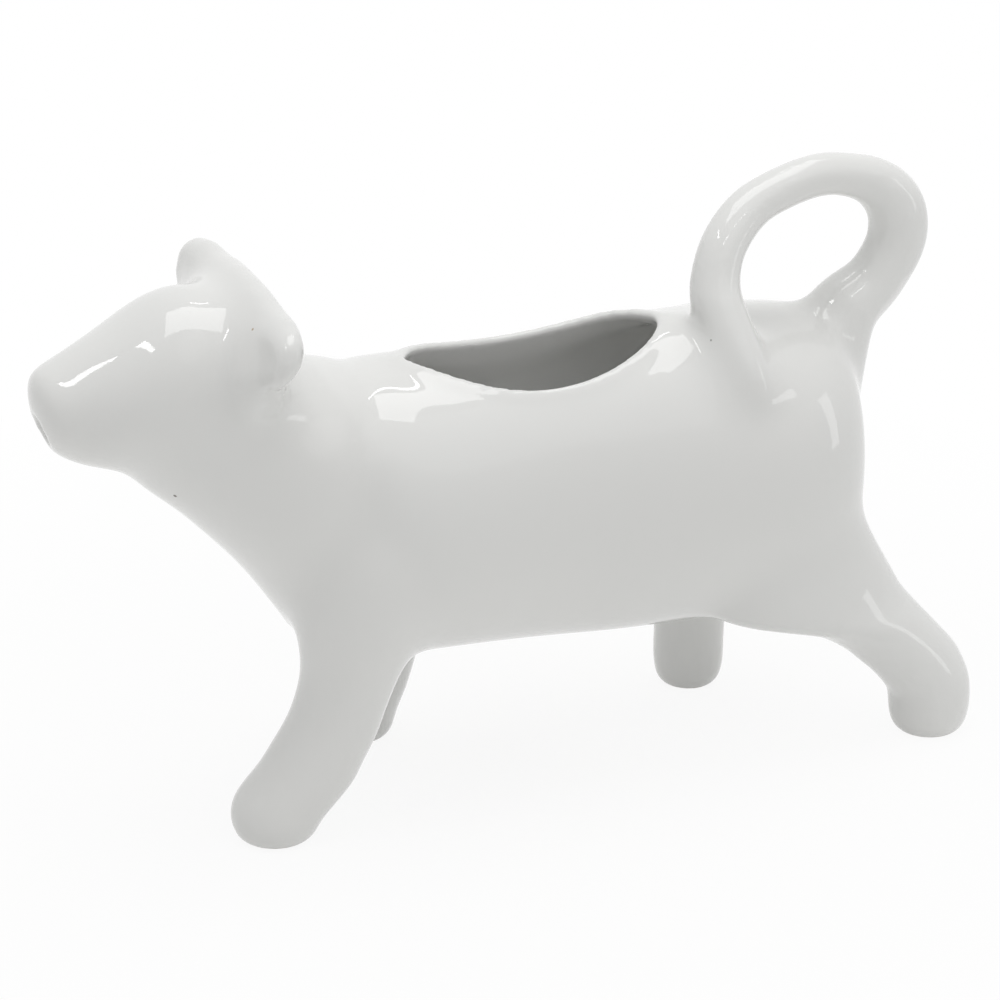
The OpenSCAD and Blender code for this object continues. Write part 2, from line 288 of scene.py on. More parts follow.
def ear_rings():
    """Rings of the band, from the left tip over the poll to the right tip."""
    a = turn(THIN_SIDES)
    lean = math.radians(EAR_LEAN)
    across = np.clip(1 - ((np.cos(a) + CUP_LOW) / CUP_HALF) ** 2, 0, 1) ** CUP_POWER
    front = np.where(np.sin(a) < 0, across, 0)
    rows = smooth_rows(EAR)
    both = [(-1, row) for row in rows[:0:-1]] + [(1, row) for row in rows[1:]]
    for side, (place, drop, height, thickness) in both:
        h, t = height * EAR_H / 2, thickness * EAR_T / 2
        cup = eased(np.clip((place - CUP_STARTS) / CUP_GROWS, 0, 1)
                    * np.clip((CUP_STOPS - place) / CUP_FADES, 0, 1))
        t = t * (1 - CUP_DEPTH * cup * front)
        x, z = EAR_PLACE[0], EAR_PLACE[2] - drop * EAR_H
        yield np.stack([x + h * math.sin(lean) * np.cos(a) + t * math.cos(lean) * np.sin(a),
                        np.full(THIN_SIDES, side * place * EAR_SPAN / 2),
                        z + h * math.cos(lean) * np.cos(a) - t * math.sin(lean) * np.sin(a)], 1)


ear_form = loft("ear_form", list(ear_rings()))

# %% Clay pressed in under the ears
WEB_X, WEB_Y, WEB_Z = -49.5, 16.5, 85.5
WEB_RADII, WEB_LEAN = (4.5, 4.5, 7), 26


def ball(name, centre, radii, lean):
    """A sphere stretched along three axes and leant about the X axis, in degrees."""
    place = (Matrix.Translation(Vector(centre) * MM)
             @ Matrix.Rotation(math.radians(lean), 4, "X") @ Matrix.Diagonal([*radii, 1]))
    bm = bmesh.new()
    bmesh.ops.create_uvsphere(
        bm, u_segments=THIN_SIDES, v_segments=THIN_SIDES // 2, radius=MM, matrix=place)
    return finished(name, bm)


webs = [ball("web", (WEB_X, side * WEB_Y, WEB_Z), WEB_RADII, -side * WEB_LEAN) for side in SIDES]
print("webs under the ears:", len(webs))

# %% [markdown]
# ## The tail
#
# The tail is a rolled coil of clay. It rises from the rump, turns over in a loop
# that takes a finger, and is pressed down on the left flank. A curve with a
# round bevel would do for the loop, but the coil spreads at both ends, so it is
# a loft too. Its rows are points in space with a thickness, and each ring stands
# square to the way it runs.

# %% The tail
TAIL = [  # along, up, out to the left, radius, as shares of the handle's sizes
    [.52, -1, 0, 3], [.625, -.54, 0, 2.4], [.75, -.15, 0, 1.75], [.87, .01, 0, 1.45],
    [.955, .16, 0, 1.38], [1.015, .36, 0, 1.40], [.995, .60, 0, 1.38], [.885, .78, 0, 1.18],
    [.75, .86, 0, 1.02], [.585, .885, .01, 1], [.37, .81, .05, 1], [.245, .73, .11, 1.04],
    [.15, .62, .20, 1.07], [.08, .48, .29, 1.1], [.045, .33, .37, 1.16],
    [.035, .205, .46, 1.22], [.05, .04, .63, 1.24], [.075, -.13, .83, 1.16],
    [.10, -.28, .98, 1], [.12, -.44, 1.05, .75],
]


def tail_path():
    """Points along the middle of the tail, the way it runs there, and its radius."""
    rows = smooth_rows(TAIL)
    path = np.stack([MIDDLE_X + HANDLE_X + rows[:, 0] * HANDLE_L,
                     -rows[:, 2] * HANDLE_HANG, BACK_Z + rows[:, 1] * HANDLE_H], 1)
    return path, unit(np.gradient(path, axis=0)), rows[:, 3] * HANDLE_T / 2


def tail_rings():
    """Round rings along the tail."""
    a = turn(THIN_SIDES)
    for point, way, radius in zip(*tail_path()):
        out = np.cross([0, 1, 0], way)
        out /= np.linalg.norm(out)
        side = np.cross(way, out)
        yield point + radius * (np.outer(np.cos(a), out) + np.outer(np.sin(a), side))


tail_form = loft("tail_form", list(tail_rings()))

# %% [markdown]
# ## Legs
#
# Each leg is a peg that leans as the cow walks and swells into a shoulder or a
# haunch inside the barrel. A cylinder would make the peg but not the swelling,
# and its foot would lean too, while the rings of a loft can all lie flat. A row
# gives a height, how far the leg has come on its way from foot to hip, and how
# much of the haunch's bulk it has there. A bulk under zero is the rounded rim of
# the foot.

# %% The rows of a leg
FORE = [  # height, way gone, bulk, as shares of the barrel's axis height, the way and the haunch
    [0, 0, -.38], [.01, 0, -.18], [.035, 0, -.05], [.08, .03, 0], [.14, .13, 0],
    [.20, .26, 0], [.27, .385, 0], [.34, .495, 0], [.42, .595, .02], [.54, .71, .13],
    [.66, .80, .47], [.82, .90, .85], [1, 1, .9], [1.17, 1, .2],
]
HIND = [
    [0, 0, -.42], [.01, 0, -.24], [.035, 0, -.10], [.08, 0, -.02], [.13, 0, 0],
    [.19, .025, 0], [.27, .11, 0], [.35, .235, .04], [.42, .39, .18], [.47, .56, .46],
    [.51, .75, .86], [.555, .85, 1], [.655, .93, .96], [.83, .985, .72], [1, 1, .6],
    [1.17, 1, .2],
]
SLIM_FROM, SLIM_OVER = .3, .55


def slimmer(height, bulk):
    """The bulk of a haunch that swells later, on its way up, than the table says."""
    return bulk * min(1, max(height - SLIM_FROM, 0) / SLIM_OVER) if bulk > 0 else bulk


SLIM_HIND = [[height, way_gone, slimmer(height, bulk)] for height, way_gone, bulk in HIND]
print("rows of a foreleg:", len(FORE), "and of a hind leg:", len(HIND))

# %% The four legs
LEFT_SHOULDER, RIGHT_SHOULDER = CHEST_X + 17.6, CHEST_X + 30.5
LEFT_HAUNCH, RIGHT_HAUNCH = RUMP_X - 18, RUMP_X - 22.5
LEGS = {  # rows, foot, hip, thickness, length of the shoulder or haunch
    "front_left_leg": (
        FORE, (LEFT_SHOULDER - 20.4, -13.4), (LEFT_SHOULDER, -HIP_Y), 15.4, SHOULDER_L),
    "front_right_leg": (
        FORE, (RIGHT_SHOULDER - 7, 17.8), (RIGHT_SHOULDER, HIP_Y), 14, SHOULDER_L),
    "rear_left_leg": (
        HIND, (LEFT_HAUNCH + 28, -19.3), (LEFT_HAUNCH, -HIP_Y), 15, HAUNCH_L),
    "rear_right_leg": (
        SLIM_HIND, (RIGHT_HAUNCH - 0.5, 14.8), (RIGHT_HAUNCH, HIP_Y), 13.2, HAUNCH_L),
}
LEG_STRETCH = 1.3


def leg_rings(table, foot, hip, thickness, haunch_l):
    """Flat rings of a leg, longer where the leg leans."""
    a = turn(BODY_SIDES)
    foot, hip = np.array(foot), np.array(hip)
    rows = smooth_rows(table)
    lean = np.gradient(rows[:, 1]) / np.gradient(rows[:, 0] * AXIS_Z)
    for (height, way_gone, bulk), slope in zip(rows, lean):
        middle = foot + way_gone * (hip - foot)
        rx, ry = (thickness / 2 * min(math.hypot(1, s), LEG_STRETCH) for s in slope * (hip - foot))
        fat, sole = max(bulk, 0), 1 + min(bulk, 0)
        rx = (rx + fat * (haunch_l / 2 - rx)) * sole
        ry = (ry + fat * (HAUNCH_W / 2 - ry)) * sole
        yield np.stack([MIDDLE_X + middle[0] + rx * np.cos(a), middle[1] + ry * np.sin(a),
                        np.full(BODY_SIDES, height * AXIS_Z)], 1)


leg_forms = [loft(name + "_form", list(leg_rings(*leg))) for name, leg in LEGS.items()]

# %% [markdown]
# ## One skin
#
# On the real jug the slip fills every corner between the parts. A Boolean union
# alone would leave those corners sharp, and a bevel can't follow them. A voxel
# remesh does the first half instead: it melts the overlapping forms into one
# closed skin of even quads. The second half is a relaxing that only fills: a
# point moves to the middle of its neighbours where that lies outside the skin,
# so hollows and creases grow soft fillets while the round forms keep their size.

# %% Melt forms into one skin
VOXEL = 0.75 * MM


def discard(*things):
    """Takes objects that are used up out of the scene."""
    for thing in things:
        bpy.data.objects.remove(thing)


def modified(form, kind, **settings):
    """The mesh of a form after one modifier, which isn't kept."""
    modifier = form.modifiers.new(kind, kind)
    for key, value in settings.items():
        setattr(modifier, key, value)
    evaluated = form.evaluated_get(bpy.context.evaluated_depsgraph_get())
    mesh = bpy.data.meshes.new_from_object(evaluated)
    form.modifiers.remove(modifier)
    return mesh


def melted(name, forms):
    """One form that fills the space of all the forms."""
    bm = bmesh.new()
    for form in forms:
        bm.from_mesh(form.data)
    whole = finished(name, bm)
    discard(*forms)
    whole.data = modified(whole, "REMESH", mode="VOXEL", voxel_size=VOXEL)
    print(f"{name}: {len(whole.data.vertices)} points")
    return whole


body = melted("body", [barrel_form, head_form, ear_form, *webs, tail_form, *leg_forms])

# %% Numbers out of a mesh
def read(items, key, width=1, kind=float):
    """What all the items say under a key as an array, with width numbers to a row."""
    values = np.empty(len(items) * width, kind)
    items.foreach_get(key, values)
    return values.reshape(-1, width) if width > 1 else values


heights = read(body.data.vertices, "co", 3)[:, 2] / MM
print("highest point of the body:", round(heights.max(), 1), "mm")

# %% Relax a skin
class Skin:
    """The points of a mesh as arrays, which can be relaxed quickly, in a region or all over."""

    STEP, STEP_BACK, NORMALS_EVERY = .5, .52, 8

    def __init__(self, form):
        self.mesh = form.data
        self.points = read(self.mesh.vertices, "co", 3)
        edges = read(self.mesh.edges, "vertices", 2, int)
        self.ends = np.concatenate([edges, edges[:, ::-1]])

    def region(self, share):
        """The points with a share, their shares, and the way to the middle of their neighbours."""
        share = np.broadcast_to(share, len(self.points))
        inside = np.flatnonzero(share > 0)
        place = np.full(len(self.points), -1)
        place[inside] = np.arange(len(inside))
        ends = self.ends[place[self.ends[:, 0]] >= 0]
        here, there = place[ends[:, 0]], ends[:, 1]
        weight = np.bincount(here, minlength=len(inside))[:, None]

        def pull():
            total = [np.bincount(here, self.points[there, k], len(inside)) for k in range(3)]
            return np.stack(total, 1) / weight - self.points[inside]

        return inside, share[inside, None], pull

    def store(self):
        """Puts the points back into the mesh."""
        self.mesh.vertices.foreach_set("co", self.points.ravel())
        self.mesh.update()

    def normals(self):
        """The way that the skin faces at each point."""
        self.store()
        return read(self.mesh.vertex_normals, "vector", 3, np.float32)

    def fill(self, passes, share=1):
        """Moves points outwards only, where the skin is hollow."""
        inside, share, pull = self.region(share)
        for k in range(passes):
            if k % self.NORMALS_EVERY == 0:
                normal = self.normals()[inside]
            out = (pull() * normal).sum(1)[:, None]
            self.points[inside] += self.STEP * share * np.maximum(out, 0) * normal
        self.store()

    def smooth(self, passes, share=1):
        """Takes small bumps away and keeps the size, by a step in and a step out."""
        inside, share, pull = self.region(share)
        for _ in range(passes):
            self.points[inside] += self.STEP * share * pull()
            self.points[inside] -= self.STEP_BACK * share * pull()
        self.store()

    def melt(self, passes, share=1):
        """Rounds edges: each point moves to the middle of its neighbours."""
        inside, share, pull = self.region(share)
        for _ in range(passes):
            self.points[inside] += self.STEP * share * pull()
        self.store()


skin = Skin(body)
print("points to relax:", len(skin.points), "joined by", len(skin.ends) // 2, "edges")

# %% Fill every corner a little
before = skin.points.copy()
skin.fill(passes=110)
filled = np.linalg.norm(skin.points - before, axis=1).max() / MM
print("the deepest corner is filled by", round(filled, 2), "mm")

# %% Fuller fillets where the slip was laid on thickest
def near(points, centre, inner, outer):
    """1 within inner of a place, in mm, and 0 past outer."""
    away = np.linalg.norm(points / MM - centre, axis=1)
    return np.clip((outer - away) / (outer - inner), 0, 1)


EAR_FILLETS = {  # centre on the right side, inner and outer radius, passes
    "under": ((-49, 20, 82), 8, 17, 400),
    "behind": ((-43.5, 17.5, 82), 7, 14, 900),
    "before": ((-55, 12, 94), 5, 11, 600),
}
FILLETS = {  # centre, inner and outer radius, passes
    "on the brow": ((-57, 0, 95), 8, 16, 260),
    "on the nape": ((-39, 0, 90), 7, 17, 420),
    "at the front foot of the tail": ((41, -15, 74), 6, 17, 300),
    "at the front of the tail": ((34, -6, 84), 4, 10, 260),
    "at the root of the tail": ((60, 0, 79), 7, 16, 100),
    "under the loop of the tail": ((56, 0, 82), 3, 8, 200),
    "behind the root of the tail": ((75.5, 0, 73), 6, 13, 600),
    "at the left shoulder": ((-36, -18, 40), 8, 24, 200),
    "at the left haunch": ((50, -20, 40), 8, 26, 200),
}
for place, ((x, y, z), inner, outer, passes) in EAR_FILLETS.items():
    for side in SIDES:
        skin.fill(passes, near(skin.points, (x, side * y, z), inner, outer))
    print("filled", place, "both ears")
for place, (centre, inner, outer, passes) in FILLETS.items():
    skin.fill(passes, near(skin.points, centre, inner, outer))
    print("filled", place)

# %% Edges wiped softer with a wet brush
WIPED = {  # centre on the right side, inner and outer radius, passes
    "the lower end of the ear": ((-47.5, 22, 86), 3, 8, 60),
    "the foot of the ear": ((-46, 17, 80), 3, 8, 40),
    "the corner before the ear": ((-54.5, 12, 96), 2, 5, 16),
}
for side in SIDES:
    for (x, y, z), inner, outer, passes in WIPED.values():
        skin.melt(passes, near(skin.points, (x, side * y, z), inner, outer))
BACK_DIP, BACK_DIP_AT = 1.2, (35.5, 8, 81)  # how far the back dips behind the opening
skin.points[:, 2] -= BACK_DIP * MM * near(skin.points, BACK_DIP_AT, inner=4, outer=10)
skin.smooth(passes=12)
print("wiped on both sides:", ", ".join(WIPED))

# %% [markdown]
# ## Hollowing
#
# The jug is hollow up to the muzzle. A Solidify modifier would give it a wall
# too, but would hollow the ears, legs and tail as well, which are solid clay.
# So the hollow is grown in the same way as the skin and taken out with a Boolean,
# with the pointed oval of the filling opening and the bore of the pour hole. A
# second remesh and a light relaxing round their edges, as the glaze does.

# %% The hollow
hollow = melted("hollow", [barrel_hollow, head_hollow])
hollow_skin = Skin(hollow)
hollow_skin.fill(passes=60)
hollow_skin.smooth(passes=8)
print("hollow relaxed:", len(hollow_skin.points), "points")

# %% The bore of the pour hole
POUR_BEFORE, POUR_BEHIND = -8, 10.5
pour_mouth = head_point(.975, .53)
pour_way = np.array([math.cos(math.radians(POUR_DIP)), 0, math.sin(math.radians(POUR_DIP))])
pour_turn = turn(THIN_SIDES // 2)
pour_ring = POUR_D / 2 * (np.outer(np.cos(pour_turn), [0, 1, 0])
                          + np.outer(np.sin(pour_turn), np.cross(pour_way, [0, 1, 0])))
pour_bore = loft("pour_bore", [pour_mouth + pour_way * reach + pour_ring
                               for reach in (POUR_BEFORE, POUR_BEHIND)])

# %% The outline of the filling opening
FILL_POINT, FILL_SHORTER = 1.4, 1.3


def steps_along(rows):
    """The way a closed line runs, from the point before each point to the one after it."""
    return np.roll(rows, -1, 0) - np.roll(rows, 1, 0)


def fill_outline(out=0):
    """The opening in the back, widened by out: pointed in front, round at the back."""
    a = turn(2 * BODY_SIDES)
    half = FILL_L / 2
    power = np.where(np.cos(a) > 0, FILL_POINT, 1)
    front = np.where(np.cos(a) > 0, half - FILL_SHORTER, half)
    line = np.stack([MIDDLE_X + CHEST_X + FILL_X + half - front * np.cos(a),
                     FILL_W / 2 * rounded(np.sin(a), power)], 1)
    along = steps_along(line)
    return line + out * unit(np.stack([-along[:, 1], along[:, 0]], 1))


print("points round the opening:", len(fill_outline()))

# %% The rounded rim, a bead that follows the opening under the skin
RIM_R, RIM_SIDES = .95, 32
LIP, LIP_AT_POINT = .25, .8  # how far the bead stands out of the skin
POINT_STARTS, POINT_GROWS = -4, 14  # where that changes along X, and over what length
PATH_PASSES, WAY_PASSES = 6, 30
ABOVE = 150  # a height over the whole jug


def softened(rows, passes):
    """A closed line with its small bends evened out."""
    for _ in range(passes):
        rows = (np.roll(rows, 1, 0) + 2 * rows + np.roll(rows, -1, 0)) / 4
    return rows


bm = bmesh.new()
bm.from_mesh(body.data)
body_tree = BVHTree.FromBMesh(bm)
bm.free()
hits = [body_tree.ray_cast(Vector((x, y, ABOVE)) * MM, (0, 0, -1))[:2]
        for x, y in fill_outline(RIM_R)]
skin_at = softened(np.array([place for place, _ in hits]) / MM, PATH_PASSES)
skin_way = unit(softened(np.array([normal for _, normal in hits]), WAY_PASSES))
point_share = eased(np.clip((POINT_STARTS - skin_at[:, :1]) / POINT_GROWS, 0, 1))
bead_path = skin_at - (RIM_R - LIP - (LIP_AT_POINT - LIP) * point_share) * skin_way
bead_way = steps_along(bead_path)
bead_side = unit(np.cross(bead_way, skin_way))
bead_up = unit(np.cross(bead_side, bead_way))
bead_turn = turn(RIM_SIDES)[:, None, None]
bead_rings = bead_path + RIM_R * (np.cos(bead_turn) * bead_side + np.sin(bead_turn) * bead_up)
bead = loft("bead", list(bead_rings.transpose(1, 0, 2)), joined=True)

# %% Take the hollow, the opening and the bore out of the body and lay the rim on
OVER_BACK = 20


def with_height(outline, z):
    """The points of an outline lifted to a height."""
    return np.column_stack([outline, np.broadcast_to(z, len(outline))])


opening = loft("opening", [with_height(fill_outline(out), z) for out, z in (
    (0, AXIS_Z), (0, bead_path[:, 2]), (RIM_R, bead_path[:, 2]), (RIM_R, BACK_Z + OVER_BACK))])
OPERATIONS = {
    hollow: "DIFFERENCE", opening: "DIFFERENCE", bead: "UNION", pour_bore: "DIFFERENCE"}
for tool, operation in OPERATIONS.items():
    body.data = modified(body, "BOOLEAN", operation=operation, object=tool, solver="MANIFOLD")
    print("after", tool.name, len(body.data.polygons), "faces")
discard(*OPERATIONS)
body.data = modified(body, "REMESH", mode="VOXEL", voxel_size=VOXEL)
print("hollow jug:", len(body.data.vertices), "points")

# %% Find the rim in the skin and lay it on the bead
RIM_ABOVE, RIM_FROM, RIM_TO = 60, -30, 45  # the rim lies over this height, between these X
INNER_STARTS, INNER_GROWS = .2, .3
CLEAR_OF_BEAD, CLEAR_FADES = .5, .3


def rim_share(points, reach, below=0):
    """1 on the rim of the opening or some mm below it, 0 from a reach away."""
    share = np.zeros(len(points))
    high = np.flatnonzero((points[:, 2] > RIM_ABOVE * MM) & (points[:, 0] > RIM_FROM * MM)
                          & (points[:, 0] < RIM_TO * MM))
    steps = points[high, None] / MM - (bead_path - [0, 0, below])[None]
    away = np.linalg.norm(steps, axis=2).min(1)
    share[high] = np.clip((reach - away) / (reach / 2), 0, 1)
    return share


def dense(rows, times=6):
    """The rows of a closed line with more laid between them."""
    steps = np.arange(len(rows) + 1)
    fine = np.arange(len(rows) * times) / times
    return np.stack([np.interp(fine, steps, np.append(v, v[0])) for v in rows.T], 1)


def lay_on_bead(points):
    """Puts the rim's points exactly on the bead, from its top over its inner side."""
    path, run, inner = dense(bead_path), unit(dense(bead_way)), dense(bead_side)
    if (inner * (path.mean(0) - path)).sum() < 0:
        inner = -inner
    close = np.flatnonzero(rim_share(points, reach=3) > 0)
    nearest = np.linalg.norm(points[close, None] / MM - path[None], axis=2).argmin(1)
    out = points[close] / MM - path[nearest]
    out -= (out * run[nearest]).sum(1)[:, None] * run[nearest]
    away = np.linalg.norm(out, axis=1)
    inward = (out * inner[nearest]).sum(1) / away
    share = (np.clip((inward + INNER_STARTS) / INNER_GROWS, 0, 1)
             * np.clip((RIM_R + CLEAR_OF_BEAD - away) / CLEAR_FADES, 0, 1))
    points[close] += ((RIM_R / away - 1) * share)[:, None] * out * MM


print("points of the bead:", len(dense(bead_path)))

# %% Blend the rim in and round the edge of the pour hole
CREASE_INSIDE = (28, 9.5, 75.5)
LAYINGS = 4
skin = Skin(body)
skin.melt(passes=2)
skin.fill(passes=160, share=rim_share(skin.points, reach=8))
skin.melt(passes=110, share=rim_share(skin.points, reach=5.6, below=5.2))
skin.melt(passes=60, share=near(skin.points, CREASE_INSIDE, inner=2, outer=7))
skin.smooth(passes=30, share=rim_share(skin.points, reach=6))
for _ in range(LAYINGS):
    lay_on_bead(skin.points)
    skin.smooth(passes=6, share=rim_share(skin.points, reach=4))
skin.melt(passes=4, share=near(skin.points, pour_mouth, inner=3, outer=6))
skin.smooth(passes=70)
lay_on_bead(skin.points)
skin.smooth(passes=4)
print("rim blended in")

# %% Grind the soles flat
SOLE_CUT, SOLE_REACH = .25, 8
low = skin.points[:, 2] / MM
share = np.clip(1 - low / SOLE_REACH, 0, 1)
skin.points[:, 2] = np.maximum(low - SOLE_CUT * share, 0) * MM
skin.store()
print("points on the table:", int((skin.points[:, 2] == 0).sum()))

# %% [markdown]
# ## The parts again
#
# The jug was luted from separate parts, and the frame keeps them apart, so the
# skin is divided at the same joints. Cutting it with ten closed tools would work,
# but each cut would shade a little differently on its two sides. So each joint is
# a plane that bisects only the faces near it, and the normals of the undivided
# skin are stored first and given back to the parts: the glaze runs over the
# joints without a seam. The two halves of the barrel stay one piece here, because
# the glaze hides the joint between them.

# %% Joint planes
NECK_ROW, LEG_ROW, TAIL_BACK_ROW, TAIL_FRONT_ROW = 2, 7, 2.4, 14.5  # rows at the joints
EAR_SLANT = math.radians(35)
EAR_JOINT_X, EAR_JOINT_Y, EAR_JOINT_Z = -48.3, 14.84, 91


def tail_joint(row):
    """A point of the tail's middle line and the way it runs there, for a place in its rows."""
    path, way, _ = tail_path()
    return path[round(row * SPANS)], way[round(row * SPANS)]


def leg_joint(table, foot, hip):
    """The middle of a leg where it meets the barrel."""
    height, way_gone, _ = table[LEG_ROW]
    middle = np.array(foot) + way_gone * (np.array(hip) - foot)
    return MIDDLE_X + middle[0], middle[1], height * AXIS_Z


def ear_joint(side):
    """A point where an ear meets the head, and the way out along the ear."""
    return ((EAR_JOINT_X, side * EAR_JOINT_Y, EAR_JOINT_Z),
            (0, side * math.cos(EAR_SLANT), math.sin(EAR_SLANT)))


throat, nape = head_point(*HEAD[NECK_ROW][:2]), head_point(*HEAD[NECK_ROW][2:4])
joints = {  # a point of the plane, the way it faces, how far the joint reaches
    "head": ((throat + nape) / 2, np.cross(nape - throat, [0, 1, 0]), 30),
    "left_ear": (*ear_joint(-1), 15),
    "right_ear": (*ear_joint(1), 15),
    "tail_back": (*tail_joint(TAIL_BACK_ROW), 13),
    "tail_front": (tail_joint(TAIL_FRONT_ROW)[0], (0, 0, 1), 9),
}
for name, (table, foot, hip, *_) in LEGS.items():
    joints[name] = (leg_joint(table, foot, hip), (0, 0, -1), 16)
for name, (centre, way, reach) in joints.items():
    print(name, np.round(centre, 1), np.round(way / np.linalg.norm(way), 2))

# %% Part the skin at its joints
NORMAL = "skin_normal"
JOINT_NEAR = 1.5  # only faces nearer to the plane than this, in mm, are cut
SNAP = 1e-7
store = body.data.attributes.new(NORMAL, "FLOAT_VECTOR", "POINT")
store.data.foreach_set("vector", skin.normals().ravel())

bm = bmesh.new()
bm.from_mesh(body.data)
bm.faces.ensure_lookup_table()
centres = np.array([f.calc_center_median() for f in bm.faces]) / MM
chosen = {}
for name, (centre, way, reach) in joints.items():
    away = centres - centre
    close = np.abs(away @ (way / np.linalg.norm(way))) < JOINT_NEAR
    close &= np.linalg.norm(away, axis=1) < reach
    chosen[name] = [bm.faces[i] for i in np.flatnonzero(close)]
for name, faces in chosen.items():
    centre, way, _ = joints[name]
    geom = list({v for f in faces for v in f.verts} | {e for f in faces for e in f.edges}) + faces
    made = bmesh.ops.bisect_plane(
        bm, geom=geom, plane_co=Vector(centre) * MM, plane_no=Vector(way), dist=SNAP)
    cut = [e for e in made["geom_cut"] if isinstance(e, bmesh.types.BMEdge)]
    bmesh.ops.split_edges(bm, edges=cut)
    print(name, "cut through", len(cut), "edges")
bm.to_mesh(body.data)
bm.free()

# %% Number the loose parts
def loose_parts(mesh):
    """A number for each point of a mesh, the same for all that hang together."""
    a, b = read(mesh.edges, "vertices", 2, int).T
    number = np.arange(len(mesh.vertices))
    while True:
        low = np.minimum(number[a], number[b])
        new = number.copy()
        np.minimum.at(new, number[a], low)
        np.minimum.at(new, number[b], low)
        new = new[new]
        if (new == number).all():
            return number
        number = new


number = loose_parts(body.data)
parts, sizes = np.unique(number, return_counts=True)
print("loose parts and their points:", dict(zip(parts.tolist(), sizes.tolist())))

# %% Close the rings that the joints left
ON_PLANE = 1e-5


def close_joints(bm):
    """Flat faces over the open rings of a part, facing outwards."""
    middle = Vector(np.mean([v.co for v in bm.verts], axis=0))
    caps = []
    for centre, way, reach in joints.values():
        centre, way, span = Vector(centre) * MM, Vector(way).normalized(), 2 * reach * MM
        ring = [e for e in bm.edges if e.is_boundary and all(
            abs((v.co - centre).dot(way)) < ON_PLANE and (v.co - centre).length < span
            for v in e.verts)]
        if not ring:
            continue
        made = bmesh.ops.triangle_fill(bm, edges=ring, use_beauty=True, normal=way)
        faces = [g for g in made["geom"] if isinstance(g, bmesh.types.BMFace)]
        outwards = way if (middle - centre).dot(way) < 0 else -way
        bmesh.ops.reverse_faces(bm, faces=[f for f in faces if f.normal.dot(outwards) < 0])
        caps += faces
    return caps


print("joints to close:", len(joints))

# %% Cut a part out of the skin
CAP = "cap"


def shade_as_skin(mesh):
    """Gives a part the normals of the undivided skin, and its joint faces their own."""
    normals = read(mesh.attributes[NORMAL].data, "vector", 3, np.float32)
    corner = normals[read(mesh.loops, "vertex_index", 1, int)]
    for k in np.flatnonzero(read(mesh.attributes[CAP].data, "value", 1, int)):
        polygon = mesh.polygons[k]
        corner[list(polygon.loop_indices)] = polygon.normal
    mesh.attributes.remove(mesh.attributes[NORMAL])
    mesh.attributes.remove(mesh.attributes[CAP])
    mesh.normals_split_custom_set(unit(corner).tolist())


def piece_of(name, label):
    """The part of the skin with one number, closed at its joints and smoothly shaded."""
    bm = bmesh.new()
    bm.from_mesh(body.data)
    bm.verts.ensure_lookup_table()
    others = [bm.verts[i] for i in np.flatnonzero(number != label)]
    bmesh.ops.delete(bm, geom=others, context="VERTS")
    bm.normal_update()
    cap_layer = bm.faces.layers.int.new(CAP)
    caps = close_joints(bm)
    for face in bm.faces:
        face.smooth = True
    for face in caps:
        face.smooth, face[cap_layer] = False, 1
    piece = finished(name, bm)
    shade_as_skin(piece.data)
    print(f"{name}: {len(piece.data.polygons)} faces, {len(caps)} of them on joints")
    return piece


print("loose parts to cut out:", len(parts))

# %% Make each part a piece of its own
PLACES = {  # a point on or near each part
    "head": (-75, 0, 92),
    "left_ear": (-48, -27, 92),
    "right_ear": (-48, 27, 92),
    "tail_handle": (60, 0, 106),
    "front_left_leg": (-48, -13.4, 0),
    "front_right_leg": (-21, 17.8, 0),
    "rear_left_leg": (77, -19.3, 0),
    "rear_right_leg": (44, 14.8, 0),
    "barrel": (10, -23, 50),
}
BARREL_NODES = ["left_barrel_half", "right_barrel_half"]
points = read(body.data.vertices, "co", 3) / MM
pieces = []
for name, place in PLACES.items():
    label = number[np.linalg.norm(points - place, axis=1).argmin()]
    piece = piece_of("jug_" + name, label)
    nodes = BARREL_NODES if name == "barrel" else [name]
    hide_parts(*nodes)
    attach(piece, "root")
    pieces.append(piece)
discard(body)

# %% [markdown]
# ## The camera
#
# The photograph was taken from the cow's left, a little from the front and from
# above, with a long lens. An orthographic camera would come near it, but the far
# legs are a little smaller in the photograph, so the camera has a real distance.

# %% Camera
VIEW_AZIMUTH, VIEW_ELEVATION, VIEW_AWAY = math.radians(-22), math.radians(24), 0.7
LENS, FILM, NEAREST = 142.6, 36, 0.01
aim = Vector((-0.2, 0, 50.3)) * MM
back = Vector((math.sin(VIEW_AZIMUTH) * math.cos(VIEW_ELEVATION),
               -math.cos(VIEW_AZIMUTH) * math.cos(VIEW_ELEVATION), math.sin(VIEW_ELEVATION)))
camera = placed("camera", bpy.data.cameras.new("camera"))
camera.location = aim + back * VIEW_AWAY
camera.rotation_euler = back.to_track_quat("Z", "Y").to_euler()
camera.data.lens = LENS
camera.data.sensor_width = FILM
camera.data.clip_start = NEAREST
bpy.context.scene.camera = camera
print("camera at", [round(v, 3) for v in camera.location])
